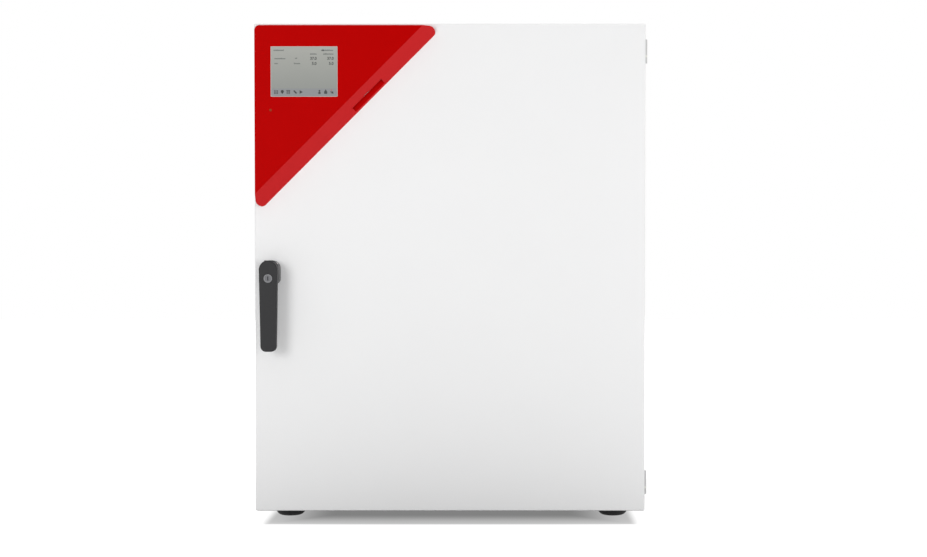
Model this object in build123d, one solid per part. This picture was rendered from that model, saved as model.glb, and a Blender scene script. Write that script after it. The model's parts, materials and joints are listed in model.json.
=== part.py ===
from build123d import *
import math
import os

# A benchtop carbon dioxide incubator, in millimetres. While it is modelled, X runs across the front with 0 at
# the middle of the cabinet, Y runs from the outer door's face (0) to the back, and Z runs up from the bench.
# The finished pieces are then moved so that the middle of the whole object's footprint lies at X 0, Y 0.

# Cabinet
cabinet_width = 680.0
cabinet_depth = 715.0
cabinet_height = 870.0
outer_sheet = 1.2
frame_sheet = 1.5
rear_sheet = 1.5
bulkhead_sheet = 1.2
corner_radius = 3.0
rear_bay_depth = 63.5
rear_flange_width = 15.0
base_lip_height = 18.0

# Outer door
door_depth = 58.0
door_sheet = 1.2
door_edge_radius = 2.0
door_gap = 6.0
door_dish_half_width = 300.0
door_dish_depth = 8.0
door_heater_inset = 45.0
foil_thickness = 0.8
gasket_width = 12.0
gasket_margin = 1.0
gasket_clearance = 0.3

# Chamber, its heated jacket and the wool around them
chamber_sheet = 1.2
chamber_radius = 20.0
step_width = 28.0
step_depth = 26.8
jacket_gap = 12.0
jacket_sheet = 0.8
side_insulation = 44.8
bottom_insulation = 93.8
top_insulation = 124.8
rear_insulation = 39.0
rib_width = 10.0
rib_height = 8.0
rib_end_gap = 16.0
first_shelf_height = 105.0
rib_levels = 6
shelf_levels = (0, 2, 4)

# Shelves and water pans
shelf_sheet = 1.2
shelf_side_gap = 3.0
shelf_front_gap = 29.0
shelf_rear_gap = 6.0
shelf_lip = 10.0
shelf_hole_radius = 6.0
shelf_hole_pitch = 34.0
shelf_hole_margin = 35.0
pan_sheet = 1.0
pan_side_margin = 30.0
pan_front_gap = 29.0
pan_rear_gap = 26.0
pan_height = 25.0
pan_corner_radius = 15.0
pan_nest_gap = 13.0
inner_pan_height = 19.0

# Inner glass door
glass_thickness = 6.0
glass_edge_gap = 10.0
glass_height_gap = 6.0
glass_seal_thickness = 4.5
glass_seal_width = 12.0
glass_seal_inset = 6.0
glass_hinge_inset = 7.0
glass_hinge_offset = 5.0
glass_hinge_radius = 4.5
glass_pin_radius = 2.0
glass_block_length = 31.0
glass_block_height = 34.0
glass_block_thickness = 6.0
glass_ear_height = 6.0
glass_hinge_margin = 40.0
glass_block_radius = 4.0
glass_ear_back = 3.5
glass_corner_cut = 4.0
knob_inset = 23.0
knob_height = 430.0
knob_radius = 14.0
knob_edge_radius = 4.0
knob_front_gap = 18.0
knob_shaft_radius = 4.0
knob_washer_radius = 8.0
knob_washer_sheet = 1.7
catch_thickness = 4.0
catch_width = 12.0
catch_overlap = 5.0
catch_keeper_depth = 8.0
catch_keeper_radius = 2.0

# Outer door hinges, right edge
hinge_axis_out = 2.5
hinge_axis_back = 2.5
hinge_radius = 6.0
hinge_pin_radius = 2.5
hinge_clearance = 1.0
lower_hinge_bottom = 43.0
upper_hinge_drop = 61.0
short_knuckle = 10.0
washer_height = 4.0
long_knuckle = 27.5
knuckle_gap = 0.1
leaf_sheet = 2.5
leaf_reach = 19.5
leaf_drop = 16.0

# Clearances between pieces that move on one another
running_gap = 0.05
soft_gap = 0.3

# Control panel, a right triangle on the door's upper left corner
panel_left_margin = 4.0
panel_top_margin = 6.5
panel_leg = 323.3
panel_depth = 25.0
panel_bevel = 23.5
panel_corner_radius = 9.0
panel_wall = 2.5
display_width = 115.2
display_height = 86.4
display_left = 28.0
display_drop = 36.6
display_recess = 0.4
display_corner_radius = 1.0
module_rim = 5.0
module_depth = 8.0
board_sheet = 1.6
board_gap = 3.0
control_parts_rise = 5.0
light_left = 27.7
light_drop = 146.0
light_radius = 2.5
light_length = 7.0
light_proud = 0.3
light_flange = 1.0
light_edge_radius = 0.8
recess_length = 70.6
recess_shift = 54.0
recess_reach = 11.2
recess_floor = 2.7
recess_wall = 2.5
usb_width = 13.2
usb_height = 5.7
usb_depth = 14.0
usb_sheet = 0.4
usb_tongue = 1.8
usb_tongue_shift = 1.0

# Handle, left edge
handle_inset = 29.0
handle_drop = 81.7
handle_length = 157.0
blade_head_radius = 16.0
blade_foot_width = 27.0
blade_foot_radius = 9.5
blade_thickness = 12.0
blade_edge = 2.5
blade_gap = 4.0
base_width = 32.0
base_height = 40.5
base_depth = 30.0
base_rise = 0.5
base_head_radius = 14.0
base_foot_radius = 9.0
base_edge_radius = 1.5
tongue_width = 16.0
tongue_gap = 0.5
tongue_radius = 6.0
lever_axis_drop = 6.0
lever_axis_depth = 8.0
lever_pin_radius = 2.5
lock_drop = 31.0
lock_radius = 7.5
lock_plug_radius = 5.4
lock_proud = 1.3
lock_edge_radius = 0.6
lock_plug_sunk = 0.5
lock_lip_gap = 0.5
lock_cam_length = 11.0
lock_cam_width = 6.0
lock_cam_sheet = 1.8
lock_cam_gap = 1.0
lock_pocket_gap = 1.5
lock_lip = 2.5
key_slot_width = 1.6
key_slot_height = 7.0
key_slot_depth = 8.0

# Latch in the door's left edge
latch_inset = 10.0
latch_drop = 8.0
latch_axis_depth = 40.0
hook_thickness = 6.0
hook_hub_radius = 7.0
hook_arm_height = 10.0
hook_nose_length = 7.5
hook_nose_drop = 16.0
hook_play = 0.5
hook_pin_radius = 3.0
hook_side_gap = 1.5
hook_lift_gap = 15.0
keeper_sheet = 2.5
keeper_grip = 4.0
keeper_margin = 14.0
case_sheet = 1.5
case_depth = 36.0
case_gap = 4.0

# Feet
foot_height = 21.0
foot_radius = 26.5
foot_curve_radius = 12.0
foot_side_inset = 49.0
foot_front = 100.0
foot_rear_inset = 65.0
foot_screw_radius = 3.0
foot_screw_head_radius = 5.5
foot_screw_head_height = 4.0
foot_screw_recess = 3.0
foot_screw_grip = 8.0
foot_screw_socket_radius = 2.4

# Rear fittings, placed from the middle of the cabinet and up from the bench
port_x = 200.0
port_height = 310.0
port_radius = 15.0
port_wall = 2.0
port_flange_radius = 25.0
port_flange_sheet = 3.0
plug_length = 30.0
plug_taper = 0.7
plug_head_radius = 20.0
plug_head_height = 9.0
plug_edge_radius = 2.0
inlet_x = -210.0
inlet_height = 110.0
inlet_width = 62.0
inlet_tall = 50.0
inlet_flange = 2.0
inlet_corner_radius = 3.0
inlet_body_margin = 3.0
inlet_body_depth = 26.0
socket_width = 24.0
socket_tall = 16.0
socket_depth = 20.0
socket_drop = 11.0
socket_corner_cut = 4.0
blade_pin_length = 12.0
blade_pin_width = 4.0
blade_pin_sheet = 2.0
blade_pin_spread = 7.0
rocker_width = 22.0
rocker_tall = 14.0
rocker_rise = 13.0
rocker_depth = 12.0
rocker_angle = 16.0
rocker_pin_radius = 1.5
network_x = -130.0
network_width = 18.0
network_tall = 16.0
network_depth = 20.0
network_cavity_width = 12.0
network_cavity_tall = 8.0
network_cavity_depth = 14.0
gas_x = 60.0
gas_height = 200.0
nozzle_radius = 4.0
nozzle_bore = 2.0
nozzle_length = 22.0
nozzle_nut_radius = 9.0
nozzle_nut_height = 5.0
nozzle_tip_cut = 1.0
hose_radius = 4.0
hose_bore = 2.5
hose_bend = 14.0
gas_line_back = 38.0
valve_width = 32.0
valve_height = 48.0
valve_bottom = 244.0
valve_edge_radius = 3.0
filter_radius = 24.0
filter_height = 20.0
filter_bottom = 340.0
filter_neck = 12.0
filter_edge_cut = 3.0
hose_rise = 46.0
head_to_rear = 75.8
head_radius = 20.0
head_height = 24.0
head_stem_radius = 5.0
head_stem_height = 32.0
head_edge_radius = 3.0
jet_drop = 14.4
sensor_x = -60.0
sensor_radius = 15.0
sensor_edge_radius = 4.0
sensor_length = 62.0
sensor_stem_radius = 7.0
sensor_stem_height = 30.0
probe_xs = (-150.0, -125.0)
probe_drop = 90.0
probe_tip_radius = 2.7
probe_radius = 3.0
probe_reach = 30.0
probe_flange_radius = 6.0
probe_flange_sheet = 3.0
power_board_inset = 40.0
power_board_width = 220.0
power_board_drop = 110.0
power_board_height = 280.0
power_parts_rise = 28.0
standoff_radius = 4.0
standoff_height = 12.0
rear_screw_radius = 1.9
rear_screw_head_radius = 4.0
rear_screw_head_height = 2.4
rear_screw_length = 9.0
rear_screw_inset = 8.5
rear_screw_socket_radius = 1.3
louvre_width = 60.0
louvre_height = 4.0
louvre_pitch = 12.0
louvre_rows = 10
louvre_columns = 3
louvre_column_pitch = 76.0

# Parts on the two circuit boards, as shares of the board's width and height and of its tallest part: left
# edge, lower edge, width, height and rise
control_board_parts = (
    (0.12, 0.34, 0.20, 0.27, 0.6),
    (0.44, 0.23, 0.26, 0.18, 0.8),
    (0.51, 0.59, 0.31, 0.20, 1.0),
    (0.14, 0.09, 0.17, 0.11, 1.0),
)
power_board_parts = (
    (0.09, 0.11, 0.27, 0.25, 1.0),
    (0.09, 0.46, 0.20, 0.16, 0.8),
    (0.45, 0.14, 0.23, 0.11, 0.6),
    (0.45, 0.36, 0.41, 0.14, 0.4),
    (0.45, 0.61, 0.27, 0.21, 0.9),
    (0.14, 0.79, 0.18, 0.09, 0.5),
    (0.80, 0.11, 0.11, 0.16, 0.6),
)

# How far a cutting shape runs past the face that it opens
past = 1.0

# Places worked out from the sizes above
half_width = cabinet_width / 2
wrap_inner = half_width - outer_sheet
front_plane = door_depth + door_gap
frame_back = front_plane + frame_sheet
rear_inner = cabinet_depth - rear_sheet
bulkhead_back = rear_inner - rear_bay_depth
bulkhead_front = bulkhead_back - bulkhead_sheet
base_top = foot_height + outer_sheet
roof_inner = cabinet_height - outer_sheet

jacket_room = chamber_sheet + jacket_gap + jacket_sheet
jacket_half = wrap_inner - side_insulation
jacket_inner_half = jacket_half - jacket_sheet
jacket_bottom = base_top + bottom_insulation
jacket_top = roof_inner - top_insulation
jacket_rear = bulkhead_front - rear_insulation
chamber_half = jacket_half - jacket_room
chamber_floor = jacket_bottom + jacket_room
chamber_top = jacket_top - jacket_room
chamber_front = front_plane + step_depth
chamber_rear = jacket_rear - jacket_room
step_half = chamber_half + step_width
step_bottom = chamber_floor - step_width
step_top = chamber_top + step_width
jacket_front = chamber_front + chamber_sheet
shelf_pitch = (chamber_top - chamber_floor) / (rib_levels + 2)
shelf_tops = [chamber_floor + first_shelf_height + level * shelf_pitch for level in range(rib_levels)]

glass_back = chamber_front - glass_seal_thickness - soft_gap
glass_front = glass_back - glass_thickness
glass_half = step_half - glass_edge_gap
glass_bottom = step_bottom + glass_height_gap
glass_top = step_top - glass_height_gap
glass_axis_x = step_half - glass_hinge_inset
glass_axis_y = glass_front - glass_hinge_offset
glass_block_bottoms = (
    glass_bottom + glass_hinge_margin,
    glass_top - glass_hinge_margin - glass_block_height,
)
knob_x = -glass_half + knob_inset
knob_front = glass_front - knob_front_gap

hinge_x = half_width + hinge_axis_out
hinge_y = door_depth + hinge_axis_back
hinge_bottoms = (lower_hinge_bottom, cabinet_height - upper_hinge_drop)

panel_left = -half_width + panel_left_margin
panel_top = cabinet_height - panel_top_margin
slope_x = panel_left + panel_leg / 2
slope_z = panel_top - panel_leg / 2

handle_x = -half_width + handle_inset
handle_top = panel_top - panel_leg - handle_drop
blade_back = -base_depth - blade_gap
blade_front = blade_back - blade_thickness
lever_axis_y = -base_depth + lever_axis_depth
lever_axis_z = handle_top - lever_axis_drop
lock_z = handle_top - lock_drop
lock_front = blade_front - lock_proud
lock_back = -base_depth + lock_lip + lock_lip_gap
cam_back = lock_back + running_gap + lock_cam_sheet
latch_x = -half_width + latch_inset
latch_height = handle_top - latch_drop
nozzle_tip = cabinet_depth + nozzle_nut_height + nozzle_length
gas_line_y = rear_inner - gas_line_back
hose_top = jacket_top + hose_rise
head_y = chamber_rear - head_to_rear
probe_height = chamber_top - probe_drop
power_board_left = -half_width + power_board_inset
power_board_x = (power_board_left, power_board_left + power_board_width)
power_board_top = cabinet_height - power_board_drop
power_board_z = (power_board_top - power_board_height, power_board_top)

# The middle of the footprint: the lock's rim stands furthest forward, the gas nozzle furthest back, the
# door's skin furthest left and the hinge barrels furthest right.
centre_x = (hinge_x + hinge_radius - half_width) / 2
centre_y = (nozzle_tip + lock_front) / 2

slope = Plane(origin=(slope_x, 0, slope_z), x_dir=(1, 0, -1), z_dir=(1, 0, 1))
parts = {}


def block(x, y, z):
    """A box between a low and a high value along each axis."""
    sizes = [high - low for low, high in (x, y, z)]
    middles = [(high + low) / 2 for low, high in (x, y, z)]
    return Pos(*middles) * Box(*sizes)


def rod_x(radius, x, y, z):
    return Pos((x[0] + x[1]) / 2, y, z) * Rot(0, 90, 0) * Cylinder(radius, x[1] - x[0])


def rod_y(radius, x, y, z):
    return Pos(x, (y[0] + y[1]) / 2, z) * Rot(90, 0, 0) * Cylinder(radius, y[1] - y[0])


def rod_z(radius, x, y, z):
    return Pos(x, y, (z[0] + z[1]) / 2) * Cylinder(radius, z[1] - z[0])


def rounded(x, z, radius):
    """A rectangle with round corners, drawn with X across and Z up."""
    middle = Pos((x[0] + x[1]) / 2, (z[0] + z[1]) / 2)
    return middle * RectangleRounded(x[1] - x[0], z[1] - z[0], radius)


def prism_y(drawing, y):
    """A drawing with X across and Z up, given depth between two values of Y."""
    return extrude(Plane.XZ.offset(-y[0]) * drawing, amount=y[0] - y[1])


def prism_x(drawing, x):
    """A drawing with Y across and Z up, given width between two values of X."""
    return extrude(Plane.YZ.offset(x[0]) * drawing, amount=x[1] - x[0])


def ring_y(outer_x, outer_z, width, y):
    """A flat rectangular frame of one width all round."""
    outer = block((-outer_x, outer_x), y, outer_z)
    inner_z = (outer_z[0] + width, outer_z[1] - width)
    inner = block((width - outer_x, outer_x - width), (y[0] - past, y[1] + past), inner_z)
    return outer - inner


def outline(points):
    return make_face(Polyline(*points, close=True))


def latch_slot(y, bottom, top):
    reach = hook_thickness / 2 + hook_side_gap
    return block((latch_x - reach, latch_x + reach), y, (bottom, top))


def hinge_notches(x, y):
    """Room for the hinge barrels in a door or cabinet sheet."""
    room = []
    for bottom in hinge_bottoms:
        top = bottom + short_knuckle + washer_height + long_knuckle
        room.append(block(x, y, (bottom - hinge_clearance, top + hinge_clearance)))
    return room


hook_bottom = latch_height - hook_arm_height / 2 - hook_nose_drop
hook_top = latch_height + hook_arm_height / 2
keeper_front = frame_back
keeper_back = keeper_front + keeper_sheet
hook_nose_front = keeper_back + hook_play
hook_back = hook_nose_front + hook_nose_length
notch_x = (hinge_x - hinge_radius - hinge_clearance, half_width + past)
door_notch_y = (hinge_y - hinge_radius - hinge_clearance, door_depth + past)
frame_notch_y = (front_plane - past, hinge_y + hinge_radius + hinge_clearance)


# Cabinet shell

def inside_wrap(y, bottom):
    """The space inside the bent sheet, above a level."""
    shape = rounded((-wrap_inner, wrap_inner), (0, roof_inner), corner_radius - outer_sheet)
    return prism_y(shape, y) - block((-half_width, half_width), (0, cabinet_depth), (-past, bottom))


def housing_wrap():
    shape = rounded((-half_width, half_width), (0, cabinet_height), corner_radius)
    outer = prism_y(shape, (frame_back, rear_inner))
    shell = outer - inside_wrap((frame_back - past, rear_inner - outer_sheet), outer_sheet)
    flange_half = wrap_inner - rear_flange_width
    opening_y = (frame_back, rear_inner + past)
    shell -= block((-flange_half, flange_half), opening_y, (0, roof_inner - rear_flange_width))
    shell -= block((-half_width - past, half_width + past), (0, cabinet_depth), (-past, foot_height))
    shell -= block((-wrap_inner, wrap_inner), (0, rear_inner + past), (0, base_top + base_lip_height))
    shell -= rear_screw_holes()
    for notch in hinge_notches(notch_x, frame_notch_y):
        shell -= notch
    return shell


def base_pan():
    lip_top = base_top + base_lip_height
    tray = block((-wrap_inner, wrap_inner), (frame_back, rear_inner), (foot_height, lip_top))
    inner = wrap_inner - outer_sheet
    tray -= block(
        (-inner, inner),
        (frame_back + outer_sheet, rear_inner - outer_sheet),
        (base_top, cabinet_height),
    )
    for x, y in foot_places():
        tray -= rod_z(foot_screw_radius, x, y, (0, cabinet_height))
    tray -= rear_screw_holes()
    for notch in hinge_notches((notch_x[0], wrap_inner + past), frame_notch_y):
        tray -= notch
    return tray


def front_frame():
    shape = rounded((-half_width, half_width), (foot_height, cabinet_height), corner_radius)
    frame = prism_y(shape, (front_plane, frame_back))
    frame += block(
        (-step_half - frame_sheet, step_half + frame_sheet),
        (frame_back, chamber_front),
        (step_bottom - frame_sheet, step_top + frame_sheet),
    )
    frame -= block((-step_half, step_half), (0, chamber_front + past), (step_bottom, step_top))
    slot_top = hook_top + hook_lift_gap + hook_side_gap
    frame -= latch_slot((0, frame_back + past), hook_bottom - hook_side_gap, slot_top)
    for notch in hinge_notches(notch_x, frame_notch_y):
        frame -= notch
    return frame


def door_keeper():
    reach = hook_thickness / 2 + keeper_margin
    bottom = hook_bottom + keeper_grip
    top = hook_top + hook_lift_gap
    x = (max(-wrap_inner, latch_x - reach), min(latch_x + reach, -step_half - frame_sheet))
    plate = block(x, (keeper_front, keeper_back), (bottom - keeper_margin, top + keeper_margin))
    return plate - latch_slot((0, keeper_back + past), bottom, top)


def rear_panel():
    shape = rounded((-half_width, half_width), (foot_height, cabinet_height), corner_radius)
    panel = prism_y(shape, (rear_inner, cabinet_depth))
    y = (rear_inner - past, cabinet_depth + past)
    inlet_half = inlet_width / 2 - inlet_body_margin
    inlet_rise = inlet_tall / 2 - inlet_body_margin
    inlet_z = (inlet_height - inlet_rise, inlet_height + inlet_rise)
    cuts = [block((inlet_x - inlet_half, inlet_x + inlet_half), y, inlet_z)]
    network_z = (inlet_height - network_tall / 2, inlet_height + network_tall / 2)
    cuts.append(block((network_x - network_width / 2, network_x + network_width / 2), y, network_z))
    cuts.append(rod_y(hose_radius, gas_x, y, gas_height))
    cuts.append(rod_y(port_radius + port_wall, port_x, y, port_height))
    cuts += rear_screw_holes()
    field_x = (power_board_x[0] + power_board_x[1]) / 2
    field_z = (power_board_z[0] + power_board_z[1]) / 2
    louvre = prism_y(SlotOverall(louvre_width, louvre_height), y)
    for column in range(louvre_columns):
        for row in range(louvre_rows):
            x = field_x + (column - (louvre_columns - 1) / 2) * louvre_column_pitch
            z = field_z + (row - (louvre_rows - 1) / 2) * louvre_pitch
            cuts.append(Pos(x, 0, z) * louvre)
    return panel - cuts


def rear_bulkhead():
    plate = inside_wrap((bulkhead_front, bulkhead_back), base_top + base_lip_height)
    plate -= rod_y(port_radius + port_wall, port_x, (0, cabinet_depth), port_height)
    return plate - rod_y(hose_radius, gas_x, (0, cabinet_depth), hose_top)


def rear_screw_places():
    """Across the top and down both sides of the rear panel."""
    half = half_width - rear_screw_inset
    low = foot_height + rear_screw_inset
    high = cabinet_height - rear_screw_inset
    places = []
    for z in (low, (low * 2 + high) / 3, (low + high * 2) / 3, high):
        places.append((-half, z))
        places.append((half, z))
    places.append((0, high))
    places.append((0, low))
    return places


def rear_screw_holes():
    y = (rear_inner - rear_screw_length, cabinet_depth + past)
    return [rod_y(rear_screw_radius, x, y, z) for x, z in rear_screw_places()]


def rear_screws():
    screws = []
    for x, z in rear_screw_places():
        head_back = cabinet_depth + rear_screw_head_height
        head = rod_y(rear_screw_head_radius, x, (cabinet_depth, head_back), z)
        head = fillet(head.faces().sort_by(Axis.Y)[-1].edges(), rear_screw_head_height / 2)
        shank = rod_y(rear_screw_radius, x, (head_back - rear_screw_length, cabinet_depth), z)
        socket_y = (cabinet_depth + rear_screw_head_height / 2, head_back + past)
        socket = rod_y(rear_screw_socket_radius, x, socket_y, z)
        screws.append(head + shank - socket)
    return screws


# Chamber and its jacket

def chamber_outline(grow):
    """The chamber's opening seen from the front, made larger all round."""
    half = chamber_half + grow
    return rounded((-half, half), (chamber_floor - grow, chamber_top + grow), chamber_radius + grow)


def chamber_back_outline():
    """The flat field of the rear wall, inside the round edge that joins it to the walls."""
    return chamber_outline(-chamber_radius / 2)


def rear_wall_holes():
    """Room in the chamber's and the jacket's rear walls for the port and the probes."""
    y = (chamber_rear - past, cabinet_depth)
    holes = [rod_y(port_radius + port_wall, port_x, y, port_height)]
    for x in probe_xs:
        holes.append(rod_y(probe_radius, x, y, probe_height))
    return holes


def top_wall_holes():
    """Room in the chamber's and the jacket's top walls for the gas head and the sensor."""
    z = (chamber_top - past, cabinet_height)
    return [
        rod_z(head_stem_radius, gas_x, head_y, z),
        rod_z(sensor_stem_radius, sensor_x, head_y, z),
    ]


def inner_chamber():
    """The walls with their shelf ribs, the front flange and the round edge at the back."""
    outer = prism_y(chamber_outline(chamber_sheet), (chamber_front, chamber_rear + chamber_sheet))
    outer = fillet(outer.faces().sort_by(Axis.Y)[-1].edges(), chamber_radius / 2 + chamber_sheet)
    outer += block(
        (-step_half - frame_sheet, step_half + frame_sheet),
        (chamber_front, chamber_front + chamber_sheet),
        (step_bottom - frame_sheet, step_top + frame_sheet),
    )
    inner = prism_y(chamber_outline(0), (chamber_front, chamber_rear))
    inner = fillet(inner.faces().sort_by(Axis.Y)[-1].edges(), chamber_radius / 2)
    inner += prism_y(chamber_outline(0), (chamber_front - past, chamber_front + past))
    inner += prism_y(chamber_back_outline(), (chamber_rear - past, chamber_rear + chamber_sheet + past))
    chamber = outer - inner
    rib_y = (chamber_front + shelf_front_gap - rib_end_gap / 2, chamber_rear - rib_end_gap)
    for z in shelf_tops:
        for side in (-1, 1):
            x = sorted((side * (chamber_half - rib_width), side * chamber_half))
            chamber += block(x, rib_y, (z - rib_height, z))
    return chamber - top_wall_holes()


def chamber_back():
    """The flat rear wall, welded into the walls' round edge."""
    wall = prism_y(chamber_back_outline(), (chamber_rear, chamber_rear + chamber_sheet))
    return wall - rear_wall_holes()


def air_jacket():
    shell = block((-jacket_half, jacket_half), (jacket_front, jacket_rear), (jacket_bottom, jacket_top))
    shell -= block(
        (-jacket_inner_half, jacket_inner_half),
        (jacket_front - past, jacket_rear - jacket_sheet),
        (jacket_bottom + jacket_sheet, jacket_top - jacket_sheet),
    )
    return shell - rear_wall_holes() - top_wall_holes()


def jacket_heaters():
    """Foil heating mats on the outside of the jacket."""
    y = (jacket_front + door_heater_inset, head_y - head_radius - probe_flange_radius)
    z = (jacket_bottom + door_heater_inset, jacket_top - door_heater_inset)
    x = (door_heater_inset - jacket_half, jacket_half - door_heater_inset)
    rear_mat = block((x[0], port_x - 2 * port_flange_radius), (jacket_rear, jacket_rear + foil_thickness), z)
    for probe_x in probe_xs:
        rear_mat -= rod_y(probe_flange_radius, probe_x, (jacket_rear - past, cabinet_depth), probe_height)
    return [
        block((-jacket_half - foil_thickness, -jacket_half), y, z),
        block((jacket_half, jacket_half + foil_thickness), y, z),
        block(x, y, (jacket_bottom - foil_thickness, jacket_bottom)),
        block(x, y, (jacket_top, jacket_top + foil_thickness)),
        rear_mat,
    ]


def insulation():
    """Mineral wool between the shell and the heated jacket, with room for what passes through it."""
    wool = inside_wrap((frame_back, bulkhead_front), base_top) - base_pan()
    for x, y in foot_places():
        wool -= rod_z(foot_screw_radius, x, y, (0, foot_height + foot_screw_grip))
    wool -= block(
        (-step_half - frame_sheet, step_half + frame_sheet),
        (frame_back - past, jacket_front),
        (step_bottom - frame_sheet, step_top + frame_sheet),
    )
    jacket_y = (jacket_front - past, jacket_rear)
    wool -= block((-jacket_half, jacket_half), jacket_y, (jacket_bottom, jacket_top))
    wool -= jacket_heaters()
    wool -= rod_y(port_radius + port_wall, port_x, (jacket_rear - past, cabinet_depth), port_height)
    probe_end = jacket_rear + probe_reach
    for x in probe_xs:
        wool -= rod_y(probe_radius, x, (jacket_rear - past, probe_end), probe_height)
    wool -= rod_z(sensor_stem_radius, sensor_x, head_y, (jacket_top - past, chamber_top + sensor_stem_height))
    channel = hose_radius + foil_thickness
    wool -= block(
        (gas_x - hose_bend, gas_x + hose_bend),
        (head_y - channel - hose_radius, bulkhead_front + past),
        (jacket_top - past, hose_top + channel),
    )
    hook_room = hook_thickness / 2 + keeper_margin
    keeper_z = (hook_bottom + keeper_grip - keeper_margin, hook_top + hook_lift_gap + keeper_margin)
    wool -= block(
        (-wrap_inner - past, min(latch_x + hook_room, -step_half - frame_sheet)),
        (frame_back - past, hook_back + hook_nose_length),
        keeper_z,
    )
    for notch in hinge_notches(notch_x, frame_notch_y):
        wool -= notch
    return wool


def glass_seal():
    half = chamber_half + glass_seal_inset + glass_seal_width
    bottom = chamber_floor - glass_seal_inset - glass_seal_width
    top = chamber_top + glass_seal_inset + glass_seal_width
    y = (chamber_front - glass_seal_thickness, chamber_front)
    return ring_y(half, (bottom, top), glass_seal_width, y)


def pan(side, front, back, bottom, height):
    shape = Pos(0, (front + back) / 2, bottom) * RectangleRounded(2 * side, back - front, pan_corner_radius)
    hollow = Pos(0, (front + back) / 2, bottom + pan_sheet) * RectangleRounded(
        2 * (side - pan_sheet), back - front - 2 * pan_sheet, pan_corner_radius - pan_sheet
    )
    return extrude(shape, amount=height) - extrude(hollow, amount=height)


pan_side = chamber_half - pan_side_margin
pan_front = chamber_front + pan_front_gap
pan_back = chamber_rear - pan_rear_gap


def water_pan_outer():
    return pan(pan_side, pan_front, pan_back, chamber_floor, pan_height)


def water_pan_inner():
    return pan(
        pan_side - pan_nest_gap,
        pan_front + pan_nest_gap,
        pan_back - pan_nest_gap,
        chamber_floor + pan_sheet,
        inner_pan_height,
    )


def shelf(top_of_rib):
    side = chamber_half - shelf_side_gap
    front = chamber_front + shelf_front_gap
    back = chamber_rear - shelf_rear_gap
    middle = (front + back) / 2
    drawing = Rectangle(2 * side, back - front)
    columns = int((2 * side - 2 * shelf_hole_margin) / shelf_hole_pitch) + 1
    rows = int((back - front - 2 * shelf_hole_margin) / shelf_hole_pitch) + 1
    holes = GridLocations(shelf_hole_pitch, shelf_hole_pitch, columns, rows)
    drawing -= holes * Circle(shelf_hole_radius)
    plate = extrude(Pos(0, middle, top_of_rib) * drawing, amount=shelf_sheet)
    lip_side = chamber_half - rib_width - shelf_side_gap
    for y in ((front, front + shelf_sheet), (back - shelf_sheet, back)):
        plate += block((-lip_side, lip_side), y, (top_of_rib - shelf_lip, top_of_rib + shelf_sheet))
    return plate


def gas_mixing_head():
    head = rod_z(head_radius, gas_x, head_y, (chamber_top - head_height, chamber_top))
    head = fillet(head.faces().sort_by(Axis.Z)[0].edges(), head_edge_radius)
    head += rod_z(head_stem_radius, gas_x, head_y, (chamber_top, chamber_top + head_stem_height))
    head -= rod_z(hose_bore, gas_x, head_y, (chamber_top - head_height / 2, cabinet_height))
    jets_x = (gas_x - head_radius - past, gas_x + head_radius + past)
    jets = rod_x(hose_bore, jets_x, head_y, chamber_top - jet_drop)
    return head - jets


def co2_sensor():
    body = rod_z(sensor_radius, sensor_x, head_y, (chamber_top - sensor_length, chamber_top))
    body = fillet(body.faces().sort_by(Axis.Z)[0].edges(), sensor_edge_radius)
    stem_top = chamber_top + sensor_stem_height
    return body + rod_z(sensor_stem_radius, sensor_x, head_y, (chamber_top, stem_top))


def temperature_probes():
    probes = []
    for x in probe_xs:
        tip = chamber_rear - probe_reach
        probe = rod_y(probe_radius, x, (tip, jacket_rear + probe_reach), probe_height)
        flange_y = (chamber_rear - probe_flange_sheet, chamber_rear)
        probe += rod_y(probe_flange_radius, x, flange_y, probe_height)
        probes.append(fillet(probe.faces().sort_by(Axis.Y)[0].edges(), probe_tip_radius))
    return probes


# Inner glass door

def glass_pane():
    pane = block((-glass_half, glass_half), (glass_front, glass_back), (glass_bottom, glass_top))
    pane = chamfer(pane.edges().filter_by(Axis.Y), glass_corner_cut)
    return pane - rod_y(knob_shaft_radius + running_gap, knob_x, (0, chamber_front), knob_height)


def glass_hinge_blocks():
    """Two hinge blocks on the pane's front, each with its own pin."""
    blocks = []
    for bottom in glass_block_bottoms:
        z = (bottom, bottom + glass_block_height)
        hinge_block = block(
            (glass_axis_x - glass_block_length, glass_axis_x),
            (glass_front - glass_block_thickness, glass_front),
            z,
        )
        free_corners = hinge_block.edges().filter_by(Axis.Y).sort_by(Axis.X)[:2]
        hinge_block = fillet(free_corners, glass_block_radius)
        hinge_block += rod_z(glass_hinge_radius, glass_axis_x, glass_axis_y, z)
        pin_z = (bottom - glass_ear_height, z[1] + glass_ear_height)
        blocks.append(hinge_block + rod_z(glass_pin_radius, glass_axis_x, glass_axis_y, pin_z))
    return blocks


def glass_hinge_brackets():
    """Pairs of ears on the step's right wall, above and below each hinge block."""
    ears = []
    for bottom in glass_block_bottoms:
        lower = bottom - soft_gap
        upper = bottom + glass_block_height + soft_gap
        for z in ((lower - glass_ear_height, lower), (upper, upper + glass_ear_height)):
            ear = rod_z(glass_hinge_radius, glass_axis_x, glass_axis_y, z)
            ear += block(
                (glass_axis_x, step_half),
                (glass_axis_y - glass_hinge_radius, glass_axis_y + glass_ear_back),
                z,
            )
            ears.append(ear - rod_z(glass_pin_radius + running_gap, glass_axis_x, glass_axis_y, z))
    return ears


catch_back = glass_front - soft_gap
catch_front = catch_back - catch_thickness
catch_end = -step_half + catch_keeper_depth - catch_overlap


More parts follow.
